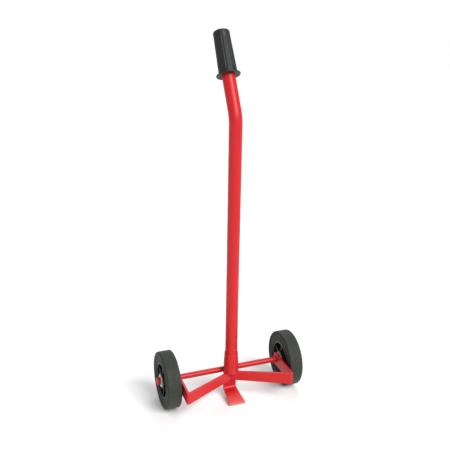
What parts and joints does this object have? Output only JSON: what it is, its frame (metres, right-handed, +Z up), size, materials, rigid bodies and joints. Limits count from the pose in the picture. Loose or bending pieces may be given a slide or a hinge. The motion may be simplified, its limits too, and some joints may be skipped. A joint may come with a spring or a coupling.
{
  "type": "lever trolley",
  "caption": "Hand trolley on two solid wheels: a cranked pole with a hand grip stands on a low V frame with a forward lifting toe.",
  "frame": {"origin": "on the floor, under the middle of the trolley's width and length", "axes": "+Z up, +X along the axle to the right-hand wheel, -Y to the front, where the lifting toe points"},
  "size_m": [0.5256, 0.2325, 1.2665],
  "materials": {
    "red_paint": "semi-gloss red powder coat on steel",
    "tyre_rubber": "solid black rubber, dull",
    "rim_plastic": "moulded black polypropylene",
    "bearing_nylon": "natural nylon, satin",
    "hub_steel": "drawn steel tube",
    "zinc_plate": "zinc plated steel",
    "grip_plastic": "moulded soft black plastic"
  },
  "bodies": {
    "frame": {"axle_rod": "red_paint", "pole_tube": "red_paint", "pole_socket": "red_paint", "lifting_toe": "red_paint", "hand_grip": "grip_plastic", "left_side_plate": "red_paint", "right_side_plate": "red_paint", "left_diagonal_bar": "red_paint", "right_diagonal_bar": "red_paint", "left_inner_washer": "zinc_plate", "right_inner_washer": "zinc_plate", "left_outer_washer": "zinc_plate", "right_outer_washer": "zinc_plate", "left_axle_cap": "red_paint", "right_axle_cap": "red_paint", "left_cap_pin": "zinc_plate", "right_cap_pin": "zinc_plate"},
    "left_wheel": {"left_tyre": "tyre_rubber", "left_rim": "rim_plastic", "left_hub_tube": "hub_steel", "left_inner_bearing": "bearing_nylon", "left_outer_bearing": "bearing_nylon"},
    "right_wheel": {"right_tyre": "tyre_rubber", "right_rim": "rim_plastic", "right_hub_tube": "hub_steel", "right_inner_bearing": "bearing_nylon", "right_outer_bearing": "bearing_nylon"}
  },
  "joints": [
    {"name": "left_wheel_spin", "type": "hinge", "parent": "frame", "child": "left_wheel", "pos_m": [-0.224, 0.0163, 0.1], "axis": [1, 0, 0], "continuous": true},
    {"name": "right_wheel_spin", "type": "hinge", "parent": "frame", "child": "right_wheel", "pos_m": [0.224, 0.0163, 0.1], "axis": [1, 0, 0], "continuous": true}
  ]
}
